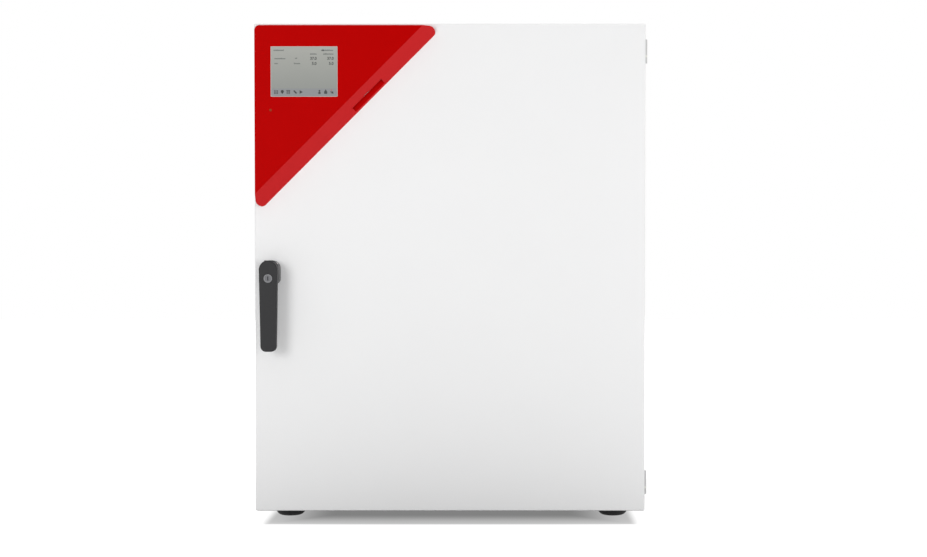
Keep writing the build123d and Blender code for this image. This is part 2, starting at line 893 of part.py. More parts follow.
def glass_latch_knob():
    knob = rod_y(knob_radius, knob_x, (knob_front, catch_front), knob_height)
    knob = fillet(knob.faces().sort_by(Axis.Y)[0].edges(), knob_edge_radius)
    arm_z = (knob_height - catch_width / 2, knob_height + catch_width / 2)
    knob += block((catch_end, knob_x), (catch_front, catch_back), arm_z)
    knob += rod_y(catch_width / 2, knob_x, (catch_front, catch_back), knob_height)
    washer_front = glass_back + running_gap
    washer_back = washer_front + knob_washer_sheet
    knob += rod_y(knob_shaft_radius, knob_x, (catch_back, washer_back), knob_height)
    return knob + rod_y(knob_washer_radius, knob_x, (washer_front, washer_back), knob_height)


def glass_latch_keeper():
    """A lip on the step's left wall, in front of the knob's arm."""
    x = (-step_half, -step_half + catch_keeper_depth)
    lip_back = catch_front - soft_gap
    z = (knob_height - catch_width, knob_height + catch_width)
    lip = block(x, (lip_back - catch_thickness, lip_back), z)
    return fillet(lip.edges().filter_by(Axis.Y).sort_by(Axis.X)[-2:], catch_keeper_radius)


# Outer door

def door_outer_shape(inset, y):
    x = (-half_width + inset, half_width - inset)
    z = (foot_height + inset, cabinet_height - inset)
    return prism_y(rounded(x, z, corner_radius - inset), y)


def door_skin():
    skin = door_outer_shape(0, (0, door_depth))
    skin = fillet(skin.faces().sort_by(Axis.Y)[0].edges(), door_edge_radius)
    skin -= door_outer_shape(door_sheet, (door_sheet, door_depth + past))
    for notch in hinge_notches(notch_x, door_notch_y):
        skin -= notch
    return skin


rim_front = door_depth - door_sheet
dish_back = door_depth - door_dish_depth
dish_front = dish_back - door_sheet
dish_margin = step_half - door_dish_half_width
dish_z = (step_bottom + dish_margin, step_top - dish_margin)


def door_inner_panel():
    panel = door_outer_shape(door_sheet, (rim_front, door_depth))
    panel += block(
        (-door_dish_half_width - door_sheet, door_dish_half_width + door_sheet),
        (dish_front, rim_front),
        (dish_z[0] - door_sheet, dish_z[1] + door_sheet),
    )
    panel -= block((-door_dish_half_width, door_dish_half_width), (dish_back, door_depth + past), dish_z)
    slot_y = (rim_front - past, door_depth + past)
    panel -= latch_slot(slot_y, hook_bottom - hook_side_gap, hook_top + hook_lift_gap)
    for notch in hinge_notches(notch_x, door_notch_y):
        panel -= notch
    return panel


def door_heater():
    half = door_dish_half_width - door_heater_inset
    z = (dish_z[0] + door_heater_inset, dish_z[1] - door_heater_inset)
    return block((-half, half), (dish_front - foil_thickness, dish_front), z)


def latch_case_span():
    x = (-half_width + door_sheet, latch_x + hook_thickness / 2 + case_gap + case_sheet)
    z = (hook_bottom - case_gap, hook_top + hook_lift_gap + case_gap)
    return x, (rim_front - case_depth, rim_front), z


def door_insulation():
    foam = door_outer_shape(door_sheet, (door_sheet, rim_front))
    foam -= block(
        (-door_dish_half_width - door_sheet, door_dish_half_width + door_sheet),
        (dish_front, rim_front + past),
        (dish_z[0] - door_sheet, dish_z[1] + door_sheet),
    )
    foam -= door_heater()
    foam -= block(*latch_case_span())
    for notch in hinge_notches(notch_x, door_notch_y):
        foam -= notch
    return foam


def door_gasket():
    half = step_half + gasket_margin + gasket_width
    z = (step_bottom - gasket_margin - gasket_width, step_top + gasket_margin + gasket_width)
    return ring_y(half, z, gasket_width, (door_depth, front_plane - gasket_clearance))


def latch_case():
    x, y, z = latch_case_span()
    case = block(x, y, z)
    case -= block(
        (x[0] + case_sheet, x[1] - case_sheet),
        (y[0] + case_sheet, y[1] + past),
        (z[0] + case_sheet, z[1] - case_sheet),
    )
    hole_x = (x[0] - past, x[1] + past)
    return case - rod_x(hook_pin_radius + running_gap, hole_x, latch_axis_depth, latch_height)


def latch_hook():
    """A hook plate on its own pin: a hub, an arm to the cabinet and a nose behind the keeper."""
    half = hook_thickness / 2
    x = (latch_x - half, latch_x + half)
    hook = rod_x(hook_hub_radius, x, latch_axis_depth, latch_height)
    hook += block(x, (latch_axis_depth, hook_back), (latch_height - hook_arm_height / 2, hook_top))
    nose = block(x, (hook_nose_front, hook_back), (hook_bottom, hook_top))
    lower_back_edge = nose.edges().filter_by(Axis.X).sort_by(Axis.Z)[:2].sort_by(Axis.Y)[-1:]
    hook += chamfer(lower_back_edge, hook_nose_length / 2)
    case_x = latch_case_span()[0]
    return hook + rod_x(hook_pin_radius, case_x, latch_axis_depth, latch_height)


def knuckle(bottom, height):
    return rod_z(hinge_radius, hinge_x, hinge_y, (bottom, bottom + height))


def pin_hole():
    return rod_z(hinge_pin_radius + running_gap, hinge_x, hinge_y, (0, cabinet_height))


def door_hinge_leaves():
    leaves = []
    for bottom in hinge_bottoms:
        start = bottom + short_knuckle + washer_height + knuckle_gap
        top = bottom + short_knuckle + washer_height + long_knuckle
        leaf = block((hinge_x - leaf_reach, hinge_x), (door_depth, door_depth + leaf_sheet), (start, top))
        leaf += knuckle(start, top - start)
        leaves.append(leaf - pin_hole())
    return leaves


def cabinet_hinge_leaves():
    leaves = []
    for bottom in hinge_bottoms:
        z = (bottom - leaf_drop, bottom + short_knuckle)
        leaf_x = (hinge_x - leaf_reach, hinge_x - hinge_radius / 2)
        leaf = block(leaf_x, (front_plane - leaf_sheet, front_plane), z)
        leaf += knuckle(bottom, short_knuckle)
        leaves.append(leaf - pin_hole())
    return leaves


def hinge_washers():
    washers = []
    for bottom in hinge_bottoms:
        low = bottom + short_knuckle
        washers.append(rod_z(hinge_radius, hinge_x, hinge_y, (low, low + washer_height)) - pin_hole())
    return washers


def hinge_pins():
    pins = []
    for bottom in hinge_bottoms:
        top = bottom + short_knuckle + washer_height + long_knuckle
        pins.append(rod_z(hinge_pin_radius, hinge_x, hinge_y, (bottom, top)))
    return pins


# Control panel

def slope_block(out, y, along):
    """A box square to the panel's long edge: outward from it, front to back, and along it."""
    local = [(low + high) / 2 for low, high in (out, y, along)]
    sizes = [high - low for low, high in (out, y, along)]
    return slope * (Pos(*local) * Box(*sizes))


def panel_shape(inset):
    """The panel's triangle with its long edge bevelled, made smaller by one wall all round."""
    leg = panel_leg - inset * (2 + math.sqrt(2))
    left = panel_left + inset
    top = panel_top - inset
    triangle = outline([(left, top), (left + leg, top), (left, top - leg)])
    triangle = fillet(triangle.vertices(), panel_corner_radius - inset)
    depth = panel_depth - inset
    shape = prism_y(triangle, (-depth, 0))
    shift = inset * math.hypot(panel_bevel, panel_depth) / panel_depth
    cutter = outline(
        [
            (-shift, 0),
            (-shift - 2 * panel_bevel, -2 * panel_depth),
            (panel_leg, -2 * panel_depth),
            (panel_leg, 0),
        ]
    )
    length = 2 * panel_leg
    return shape - extrude(slope * (Pos(0, 0, -length / 2) * cutter), amount=length)


display_x = (panel_left + display_left, panel_left + display_left + display_width)
display_z = (panel_top - display_drop - display_height, panel_top - display_drop)
display_front = -panel_depth + display_recess
panel_inner = -panel_depth + panel_wall
recess_along = (recess_shift - recess_length / 2, recess_shift + recess_length / 2)
usb_y_middle = -(recess_floor + recess_reach * panel_depth / panel_bevel) / 2
light_x = panel_left + light_left
light_z = panel_top - light_drop


def usb_block(inset, depth):
    half = usb_width / 2 - inset
    y = (usb_y_middle - usb_height / 2 + inset, usb_y_middle + usb_height / 2 - inset)
    return slope_block((-recess_reach - depth, -recess_reach), y, (recess_shift - half, recess_shift + half))


def panel_housing():
    shell = panel_shape(0) - panel_shape(panel_wall)
    pocket_along = (recess_along[0] - recess_wall, recess_along[1] + recess_wall)
    deepest = -recess_reach * panel_depth / panel_bevel - recess_wall
    pocket = slope_block((-recess_reach - recess_wall, 0), (deepest, 0), pocket_along)
    shell += pocket & panel_shape(0)
    shell -= slope_block((-recess_reach, recess_reach), (-panel_depth, -recess_floor), recess_along)
    shell -= usb_block(0, usb_depth)
    window = rounded(display_x, display_z, display_corner_radius)
    shell -= prism_y(window, (-panel_depth - past, panel_inner + past))
    return shell - rod_y(light_radius, light_x, (-panel_depth - past, panel_inner + past), light_z)


def display_glass():
    return prism_y(rounded(display_x, display_z, display_corner_radius), (display_front, panel_inner))


def display_module():
    x = (display_x[0] - module_rim, display_x[1] + module_rim)
    z = (display_z[0] - module_rim, display_z[1] + module_rim)
    return prism_y(rounded(x, z, 2 * display_corner_radius), (panel_inner, panel_inner + module_depth))


def board_with_parts(x, y, z, standoff_y, shares, tallest):
    """A circuit board, its parts as raised blocks, and four standoffs."""
    board = block(x, y, z)
    across = x[1] - x[0]
    up = z[1] - z[0]
    for left, low, wide, tall, rise in shares:
        part_x = (x[0] + left * across, x[0] + (left + wide) * across)
        part_z = (z[0] + low * up, z[0] + (low + tall) * up)
        board += block(part_x, (y[1], y[1] + rise * tallest), part_z)
    posts = []
    for post_x in (x[0] + 2 * standoff_radius, x[1] - 2 * standoff_radius):
        for post_z in (z[0] + 2 * standoff_radius, z[1] - 2 * standoff_radius):
            posts.append(rod_y(standoff_radius, post_x, standoff_y, post_z))
    return [board, *posts]


def controller_board():
    start = panel_inner + module_depth
    x = (display_x[0], display_x[1])
    y = (start + board_gap, start + board_gap + board_sheet)
    standoff_y = (start, start + board_gap)
    return board_with_parts(x, y, display_z, standoff_y, control_board_parts, control_parts_rise)


def status_light():
    front = -panel_depth - light_proud
    light = rod_y(light_radius, light_x, (front, front + light_length), light_z)
    light += rod_y(light_radius + light_flange, light_x, (panel_inner, front + light_length), light_z)
    return fillet(light.faces().sort_by(Axis.Y)[0].edges(), light_edge_radius)


def usb_socket():
    shell = usb_block(0, usb_depth)
    shell -= usb_block(usb_sheet, usb_depth - usb_sheet)
    half = usb_width / 2 - 3 * usb_sheet
    tongue_middle = usb_y_middle + usb_tongue_shift
    tongue_y = (tongue_middle - usb_tongue / 2, tongue_middle + usb_tongue / 2)
    tongue_out = (-recess_reach - usb_depth + usb_sheet, -recess_reach - 2 * usb_sheet)
    shell += slope_block(tongue_out, tongue_y, (recess_shift - half, recess_shift + half))
    return shell


# Handle and lock

def handle_base():
    left = handle_x - base_width / 2
    right = handle_x + base_width / 2
    bottom = handle_top - base_height
    top = handle_top + base_rise
    shape = outline([(left, bottom), (right, bottom), (right, top), (left, top)])
    shape = fillet(shape.vertices().sort_by(Axis.Y)[-2:], base_head_radius)
    shape = fillet(shape.vertices().sort_by(Axis.Y)[:2], base_foot_radius)
    base = prism_y(shape, (-base_depth, 0))
    base = fillet(base.faces().sort_by(Axis.Y)[0].edges(), base_edge_radius)
    slot_half = tongue_width / 2 + tongue_gap
    slot_bottom = lever_axis_z - blade_gap - blade_thickness
    slot_y = (-base_depth - past, lever_axis_y + tongue_radius + blade_gap)
    base -= block((handle_x - slot_half, handle_x + slot_half), slot_y, (slot_bottom, handle_top + past))
    front = -base_depth
    cam_pocket_y = (front + lock_lip, cam_back + lock_cam_gap)
    base -= rod_y(lock_radius + lock_pocket_gap, handle_x, (front - past, cam_pocket_y[1]), lock_z)
    cam_sweep = math.hypot(lock_cam_length, lock_cam_width / 2) + lock_cam_gap
    pocket = rod_y(cam_sweep, handle_x, cam_pocket_y, lock_z)
    pocket -= block((left, right), (-base_depth, 0), (bottom, lock_z - lock_cam_width))
    base -= pocket
    notch_half = lock_cam_width / 2 + lock_cam_gap
    key_notch_x = (handle_x - notch_half, handle_x + notch_half)
    base -= block(key_notch_x, (front - past, cam_pocket_y[1]), (lock_z, slot_bottom + past))
    return base - lever_pin()


def lever_pin():
    pin_half = base_width / 2 - blade_edge
    return rod_x(lever_pin_radius, (handle_x - pin_half, handle_x + pin_half), lever_axis_y, lever_axis_z)


def handle_lever():
    head_z = handle_top - blade_head_radius
    foot_z = handle_top - handle_length
    foot_half = blade_foot_width / 2
    drawing = outline(
        [
            (handle_x - blade_head_radius, head_z),
            (handle_x - foot_half, foot_z),
            (handle_x + foot_half, foot_z),
            (handle_x + blade_head_radius, head_z),
        ]
    )
    drawing = fillet(drawing.vertices().sort_by(Axis.Y)[:2], blade_foot_radius)
    drawing += Pos(handle_x, head_z) * Circle(blade_head_radius)
    blade = prism_y(drawing, (blade_front, blade_back))
    blade = fillet(blade.faces().sort_by(Axis.Y)[0].edges(), blade_edge)
    half = tongue_width / 2
    tongue_bottom = lever_axis_z - blade_thickness
    tongue_top = min(lever_axis_z + tongue_radius, handle_top)
    tongue_x = (handle_x - half, handle_x + half)
    tongue = block(tongue_x, (blade_back, lever_axis_y), (tongue_bottom, tongue_top))
    tongue += rod_x(tongue_radius, tongue_x, lever_axis_y, lever_axis_z)
    pin_x = (handle_x - base_width, handle_x + base_width)
    lever = blade + tongue - rod_x(lever_pin_radius + running_gap, pin_x, lever_axis_y, lever_axis_z)
    return lever - rod_y(lock_radius, handle_x, (blade_front - past, blade_back + past), lock_z)


def lock_barrel():
    barrel = rod_y(lock_radius, handle_x, (lock_front, lock_back), lock_z)
    barrel = fillet(barrel.faces().sort_by(Axis.Y)[0].edges(), lock_edge_radius)
    return barrel - rod_y(lock_plug_radius + running_gap, handle_x, (lock_front - past, 0), lock_z)


def lock_plug():
    """The plug turns in the barrel and carries a cam behind it. The key slot stands upright when unlocked."""
    front = lock_front + lock_plug_sunk
    cam_y = (cam_back - lock_cam_sheet, cam_back)
    plug = rod_y(lock_plug_radius, handle_x, (front, cam_y[1]), lock_z)
    half = lock_cam_width / 2
    plug += block((handle_x - half, handle_x + half), cam_y, (lock_z, lock_z + lock_cam_length))
    slot_half = key_slot_width / 2
    slot_z = (lock_z - key_slot_height / 2, lock_z + key_slot_height / 2)
    slot_y = (front - past, front + key_slot_depth)
    return plug - block((handle_x - slot_half, handle_x + slot_half), slot_y, slot_z)


# Feet

def foot_places():
    half = half_width - foot_side_inset
    return [(x, y) for x in (-half, half) for y in (foot_front, cabinet_depth - foot_rear_inset)]


def foot():
    """A rubber bowl with a flat tread, round below and open for its screw."""
    bowl = rod_z(foot_radius, 0, 0, (0, foot_height))
    bowl = fillet(bowl.faces().sort_by(Axis.Z)[0].edges(), foot_curve_radius)
    bowl -= rod_z(foot_screw_radius, 0, 0, (-past, foot_height + past))
    head_top = foot_screw_recess + foot_screw_head_height
    return bowl - rod_z(foot_screw_head_radius, 0, 0, (-past, head_top))


def feet():
    bowl = foot()
    return [Pos(x, y, 0) * bowl for x, y in foot_places()]


def foot_screws():
    screws = []
    head_top = foot_screw_recess + foot_screw_head_height
    for x, y in foot_places():
        screw = rod_z(foot_screw_head_radius, x, y, (foot_screw_recess, head_top))
        screw += rod_z(foot_screw_radius, x, y, (head_top, foot_height + foot_screw_grip))
        socket_top = foot_screw_recess + foot_screw_head_height / 2
        screws.append(screw - rod_z(foot_screw_socket_radius, x, y, (0, socket_top)))
    return screws


# Rear fittings

def access_port_tube():
    wall = port_radius + port_wall
    tube = rod_y(wall, port_x, (chamber_rear, cabinet_depth + port_flange_sheet), port_height)
    tube += rod_y(port_flange_radius, port_x, (cabinet_depth, cabinet_depth + port_flange_sheet), port_height)
    return tube - rod_y(port_radius, port_x, (0, 2 * cabinet_depth), port_height)


def port_plug():
    mouth = cabinet_depth + port_flange_sheet
    wide = port_radius - soft_gap
    profile = Polyline(
        (0, mouth - plug_length),
        (wide - plug_taper, mouth - plug_length),
        (wide, mouth + soft_gap),
        (plug_head_radius, mouth + soft_gap),
        (plug_head_radius, mouth + plug_head_height),
        (0, mouth + plug_head_height),
        close=True,
    )
    plug = Pos(port_x, 0, port_height) * revolve(make_face(profile), Axis.Y)
    return fillet(plug.faces().sort_by(Axis.Y)[-1].edges(), plug_edge_radius)


socket_z = inlet_height - socket_drop
rocker_z = inlet_height + rocker_rise
inlet_back = cabinet_depth + inlet_flange


def power_inlet():
    flange_x = (inlet_x - inlet_width / 2, inlet_x + inlet_width / 2)
    flange_z = (inlet_height - inlet_tall / 2, inlet_height + inlet_tall / 2)
    housing = prism_y(rounded(flange_x, flange_z, inlet_corner_radius), (cabinet_depth, inlet_back))
    margin = inlet_body_margin
    body_x = (flange_x[0] + margin, flange_x[1] - margin)
    body_z = (flange_z[0] + margin, flange_z[1] - margin)
    housing += block(body_x, (inlet_back - inlet_body_depth, cabinet_depth), body_z)
    cavity_x = (inlet_x - socket_width / 2, inlet_x + socket_width / 2)
    cavity_z = (socket_z - socket_tall / 2, socket_z + socket_tall / 2)
    cavity = block(cavity_x, (inlet_back - socket_depth, inlet_back + past), cavity_z)
    housing -= chamfer(cavity.edges().filter_by(Axis.Y).sort_by(Axis.Z)[-2:], socket_corner_cut)
    rocker_x = (inlet_x - rocker_width / 2, inlet_x + rocker_width / 2)
    rocker_span = (rocker_z - rocker_tall / 2, rocker_z + rocker_tall / 2)
    housing -= block(rocker_x, (inlet_back - rocker_depth, inlet_back + past), rocker_span)
    bearing = (rocker_x[0] - 2 * rocker_pin_radius, rocker_x[1] + 2 * rocker_pin_radius)
    housing -= rod_x(rocker_pin_radius + running_gap, bearing, inlet_back - rocker_depth / 3, rocker_z)
    pin_y = (inlet_back - socket_depth, inlet_back - socket_depth + blade_pin_length)
    for offset in (-1, 0, 1):
        x = inlet_x + offset * blade_pin_spread
        z = socket_z + (blade_pin_width / 2 if offset == 0 else -blade_pin_width / 4)
        pin_x = (x - blade_pin_sheet / 2, x + blade_pin_sheet / 2)
        housing += block(pin_x, pin_y, (z - blade_pin_width / 2, z + blade_pin_width / 2))
    return housing


def rocker_switch():
    """A shallow V of two faces on a trunnion, one side pressed in."""
    gap = 2 * soft_gap
    half = rocker_tall / 2 - gap
    axis_y = inlet_back - rocker_depth / 3
    lift = half * math.tan(math.radians(rocker_angle))
    drawing = outline(
        [
            (axis_y - rocker_depth / 4, rocker_z - half + gap * 3),
            (axis_y + rocker_depth / 3, rocker_z - half),
            (axis_y + rocker_depth / 3 - lift / 4, rocker_z),
            (axis_y + rocker_depth / 3 + lift, rocker_z + half - lift / 2),
            (axis_y - rocker_depth / 4, rocker_z + half - lift),
        ]
    )
    x = (inlet_x - rocker_width / 2 + gap, inlet_x + rocker_width / 2 - gap)
    rocker = prism_x(drawing, x)
    trunnion = (x[0] - 2 * rocker_pin_radius, x[1] + 2 * rocker_pin_radius)
    return rocker + rod_x(rocker_pin_radius, trunnion, axis_y, rocker_z)


def network_socket():
    x = (network_x - network_width / 2, network_x + network_width / 2)
    z = (inlet_height - network_tall / 2, inlet_height + network_tall / 2)
    back = cabinet_depth + rear_sheet
    body = block(x, (back - network_depth, back), z)
    half = network_cavity_width / 2
    cavity_z = (inlet_height - network_cavity_tall / 2, inlet_height + network_cavity_tall / 2)
    return body - block(
        (network_x - half, network_x + half), (back - network_cavity_depth, back + past), cavity_z
    )


def gas_inlet_nozzle():
    """A hose nozzle with its nut outside the rear panel and a stem through it."""
    nut_back = cabinet_depth + nozzle_nut_height
    nut = prism_y(Pos(gas_x, gas_height) * RegularPolygon(nozzle_nut_radius, 6), (cabinet_depth, nut_back))
    nozzle = nut + rod_y(nozzle_radius, gas_x, (nut_back, nozzle_tip), gas_height)
    nozzle = chamfer(nozzle.faces().sort_by(Axis.Y)[-1].edges(), nozzle_tip_cut)
    nozzle += rod_y(hose_radius, gas_x, (rear_inner - nozzle_nut_height, cabinet_depth), gas_height)
    return nozzle - rod_y(nozzle_bore, gas_x, (0, 2 * cabinet_depth), gas_height)


def gas_valve():
    """A solenoid valve: a square coil against the bulkhead, with a port above and one below."""
    half = valve_width / 2
    x = (gas_x - half, gas_x + half)
    top = valve_bottom + valve_height
    coil_z = (valve_bottom + nozzle_nut_height, top - nozzle_nut_height)
    body = block(x, (bulkhead_back, gas_line_y + half / 2), coil_z)
    body = fillet(body.edges().filter_by(Axis.Z), valve_edge_radius)
    body += rod_z(hose_radius, gas_x, gas_line_y, (valve_bottom, top))
    return body - rod_z(hose_bore, gas_x, gas_line_y, (0, cabinet_height))


def gas_filter():
    z = (filter_bottom, filter_bottom + filter_height)
    disc = rod_z(filter_radius, gas_x, gas_line_y, z)
    disc = chamfer(disc.edges().filter_by(GeomType.CIRCLE), filter_edge_cut)
    disc += rod_z(hose_radius, gas_x, gas_line_y, (z[0] - filter_neck, z[1] + filter_neck))
    return disc - rod_z(hose_bore, gas_x, gas_line_y, (0, cabinet_height))


def hose(points):
    """A hose along straight runs joined by bends of one radius."""
    path = FilletPolyline(*points, radius=hose_bend) if len(points) > 2 else Polyline(*points)
    start = Plane(origin=path @ 0, z_dir=path % 0)
    return sweep(start * (Circle(hose_radius) - Circle(hose_bore)), path=path)


def gas_hoses():
    inlet_end = rear_inner - nozzle_nut_height
    valve_top = valve_bottom + valve_height
    filter_top = filter_bottom + filter_height + filter_neck
    stem_top = chamber_top + head_stem_height
    return [
        hose(
            [
                (gas_x, inlet_end, gas_height),
                (gas_x, gas_line_y, gas_height),
                (gas_x, gas_line_y, valve_bottom),
            ]
        ),
        hose([(gas_x, gas_line_y, valve_top), (gas_x, gas_line_y, filter_bottom - filter_neck)]),
        hose(
            [
                (gas_x, gas_line_y, filter_top),
                (gas_x, gas_line_y, hose_top),
                (gas_x, head_y, hose_top),
                (gas_x, head_y, stem_top),
            ]
        ),
    ]


def power_board():
    y = (bulkhead_back + standoff_height, bulkhead_back + standoff_height + board_sheet)
    standoff_y = (bulkhead_back, y[0])
    return board_with_parts(power_board_x, y, power_board_z, standoff_y, power_board_parts, power_parts_rise)


def save(name, piece):
    """Write one sub-part, moved so that the middle of the footprint is the origin."""
    solids = []
    for item in piece if isinstance(piece, list) else [piece]:
        solids.extend(item.solids())
    shape = solids[0] if len(solids) == 1 else Compound(solids)
    parts[name] = shape.moved(Location((-centre_x, -centre_y, 0)))
    export_step(parts[name], os.path.join("parts", name + ".step"))


makers = [
    housing_wrap, base_pan, front_frame, door_keeper, rear_panel, rear_bulkhead, rear_screws,
    inner_chamber, chamber_back, air_jacket, jacket_heaters, insulation, glass_seal,
    water_pan_outer, water_pan_inner,
    gas_mixing_head, co2_sensor, temperature_probes,
    glass_pane, glass_hinge_blocks, glass_hinge_brackets, glass_latch_knob, glass_latch_keeper,
    door_skin, door_inner_panel, door_heater, door_insulation, door_gasket, latch_case, latch_hook,
    door_hinge_leaves, cabinet_hinge_leaves, hinge_washers, hinge_pins,
    panel_housing, display_glass, display_module, controller_board, status_light, usb_socket,
    handle_base, lever_pin, handle_lever, lock_barrel, lock_plug, feet, foot_screws,
    access_port_tube, port_plug, power_inlet, rocker_switch, network_socket,
    gas_inlet_nozzle, gas_valve, gas_filter, gas_hoses, power_board,
]

os.makedirs("parts", exist_ok=True)
for maker in makers:
    save(maker.__name__, maker())
for shelf_name, shelf_level in zip(("shelf_lower", "shelf_middle", "shelf_upper"), shelf_levels):
    save(shelf_name, shelf(shelf_tops[shelf_level]))
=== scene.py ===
import json
import math
import random

import bmesh
import bpy
from mathutils import Matrix, Vector


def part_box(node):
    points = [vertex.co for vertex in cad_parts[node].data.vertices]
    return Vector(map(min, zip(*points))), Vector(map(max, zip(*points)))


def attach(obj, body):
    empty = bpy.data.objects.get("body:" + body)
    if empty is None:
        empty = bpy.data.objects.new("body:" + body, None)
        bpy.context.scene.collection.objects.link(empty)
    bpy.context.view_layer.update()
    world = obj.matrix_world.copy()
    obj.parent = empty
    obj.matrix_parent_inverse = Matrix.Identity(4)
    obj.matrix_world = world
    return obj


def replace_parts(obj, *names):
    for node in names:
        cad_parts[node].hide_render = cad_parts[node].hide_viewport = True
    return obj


# A benchtop carbon dioxide incubator seen from the front. The solids come from the frame, and this script
# gives them their finishes, adds the small pieces that only show close up, and lights them. Lengths are
# metres, +Z is up and the door faces -Y.

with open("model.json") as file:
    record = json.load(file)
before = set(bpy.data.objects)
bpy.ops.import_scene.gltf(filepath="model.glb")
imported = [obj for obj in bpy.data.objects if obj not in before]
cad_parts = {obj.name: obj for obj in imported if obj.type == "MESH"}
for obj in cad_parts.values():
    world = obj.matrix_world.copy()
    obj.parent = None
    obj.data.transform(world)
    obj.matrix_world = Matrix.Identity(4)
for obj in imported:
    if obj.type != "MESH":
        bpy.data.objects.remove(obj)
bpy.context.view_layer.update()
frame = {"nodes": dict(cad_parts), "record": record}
MM = 0.001

# Places taken from the frame
door_low, door_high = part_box("door_skin")
door_middle = (door_low.x + door_high.x) / 2
door_face = door_low.y
display_low, display_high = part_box("display_glass")

# The photograph's size, its focal length and the place where the camera's axis meets it, in pixels
photo_width = 927
photo_height = 557
focal_pixels = 1606
eye_pixel = (494.8, 316.2)

# The display in the photograph, in pixels: its left, right, top and bottom, then its words as left, right
# and row, its numbers as text, middle and row, and the signs and spots on it
display_pixels = (270.4, 338.0, 45.4, 96.4)
screen_labels = [
    (273.4, 283.7, 49.4), (321.6, 333.8, 49.4), (310.2, 316.9, 53.2), (323.6, 334.0, 53.2),
    (274.3, 285.4, 57.8), (295.1, 297.3, 57.5), (274.3, 277.9, 62.8), (294.0, 300.2, 62.8),
]
screen_values = [("37.0", 313.6, 57.7), ("37.0", 330.8, 57.7), ("5.0", 314.4, 62.8), ("5.0", 331.6, 62.8)]
sign_columns = (275.8, 282.1, 288.2, 295.1, 301.0, 319.7, 326.0, 332.3)
sign_row = 91.6
mark_pixel = (323.4, 49.3)
alarm_pixel = (331.8, 89.6)

# The display's picture: its ink, its rim, and the bar along its foot as a share of its height
ink_depth = 0.08 * MM
ink_reach = (display_low.y - ink_depth, display_low.y)
rim_width = 0.9 * MM
bar_share = 0.165

# The blocks that stand for letters, their widths and rises in millimetres
letter_seed = 4
letter_widths = (0.8, 1.4)
letter_rises = (0.9, 0.9, 1.5)
letter_foot = 1.0 * MM
letter_gap = 0.3 * MM

# The display's numbers and round spots
number_size = 6.6 * MM
number_weight = 0.16 * MM
number_depth = 0.03 * MM
mark_radius = 1.5 * MM
mark_sides = 16
alarm_radius = 0.9 * MM
alarm_sides = 12

# The signs along the display's foot, drawn from each sign's middle in units of their own. A block is given
# by its left, right, low and high edge, and a disc by its place across and up, its radius, its sides and its
# turn in degrees.
sign_unit = 1.15 * MM
sign_corner = 0.15
corner_segments = 4
sign_drawings = {
    "list": {
        "blocks": [(left, left + 2.4, low, low + 1.3) for left in (-2.9, 0.5) for low in (-2.7, -0.8, 1.1)],
    },
    "drop": {"discs": [(0.0, 0.8, 2.3, 20, 0), (0.0, -1.2, 2.0, 3, 180)]},
    "sheet": {
        "blocks": [
            (-2.9, 2.9, 1.8, 2.8),
            *[(left, left + 0.8, -2.8, 1.6) for left in (-2.4, 1.6)],
            *[(-1.5, 1.5, low, low + 0.7) for low in (-2.8, -1.1, 0.5)],
        ],
    },
    "tool": {"discs": [(step, -step, 1.5, 4, 0) for step in (-1.4, 0.0, 1.4)]},
    "play": {"discs": [(-0.4, 0.0, 3.2, 3, -90)]},
    "person": {"blocks": [(-1.7, 1.7, -2.9, 0.2)], "discs": [(0.0, 1.8, 1.3, 14, 0)]},
    "house": {"blocks": [(-2.2, 2.2, -2.8, -0.6)], "discs": [(0.0, 1.0, 3.2, 3, 0)]},
    "arrow": {"blocks": [(-2.4, -0.2, -0.4, 0.8)], "discs": [(0.8, -1.0, 2.4, 3, -135)]},
}

# The seals' profiles: shares of the seal's width, inward, and of its depth, from its root to its lip. The
# door's is a bellows foot under a rounded bulb, and the pane's a low rib on a flat foot.
seal_width = 12 * MM
door_seal_profile = [
    (0.0, 0.0), (0.0, 0.16), (0.16, 0.3), (0.08, 0.45), (0.06, 0.62), (0.1, 0.8), (0.22, 0.94), (0.38, 1.0),
    (0.62, 1.0), (0.78, 0.94), (0.9, 0.8), (0.94, 0.62), (0.92, 0.45), (0.84, 0.3), (1.0, 0.16), (1.0, 0.0),
]
pane_seal_profile = [
    (0.0, 0.0), (0.0, 0.3), (0.1, 0.45), (0.24, 0.55), (0.3, 0.8), (0.42, 0.96), (0.55, 1.0), (0.68, 0.96),
    (0.78, 0.8), (0.84, 0.55), (0.94, 0.4), (1.0, 0.3), (1.0, 0.0),
]

# The network socket's contacts: how far they lie above its middle, and how deep they start and end in it
contact_count = 8
contact_pitch = 1.02 * MM
contact_width = 0.4 * MM
contact_height = 0.5 * MM
contact_rise = 3.6 * MM
contact_deep = 12 * MM
contact_shallow = 3 * MM

# The mark on the mains rocker, above its middle and behind its highest point
switch_mark_width = 0.7 * MM
switch_mark_reach = (1.4 * MM, 4.0 * MM)
switch_mark_depth = (1.4 * MM, 0.9 * MM)

# The camera: its place to the right of the door's middle, before its face and above the floor, its tilt down
# in degrees, and its sensor in millimetres
eye_right = 0.078
eye_back = 2.8
eye_height = 0.435
eye_tilt = 1.5
sensor_width = 36.0

# The light: the world's level, and each lamp's name, place, target, width, height and watts
ambient_light = 0.56
lamps = [
    ("key", (-1.27, -2.8, 0.8), (0.0, -0.35, 0.4), 0.9, 1.0, 20),
    ("fill", (2.2, -2.6, 0.5), (0.0, -0.35, 0.4), 1.6, 1.2, 29),
    ("top", (0.0, 0.5, 2.8), (0.0, 0.2, 0.5), 2.0, 2.0, 22),
]

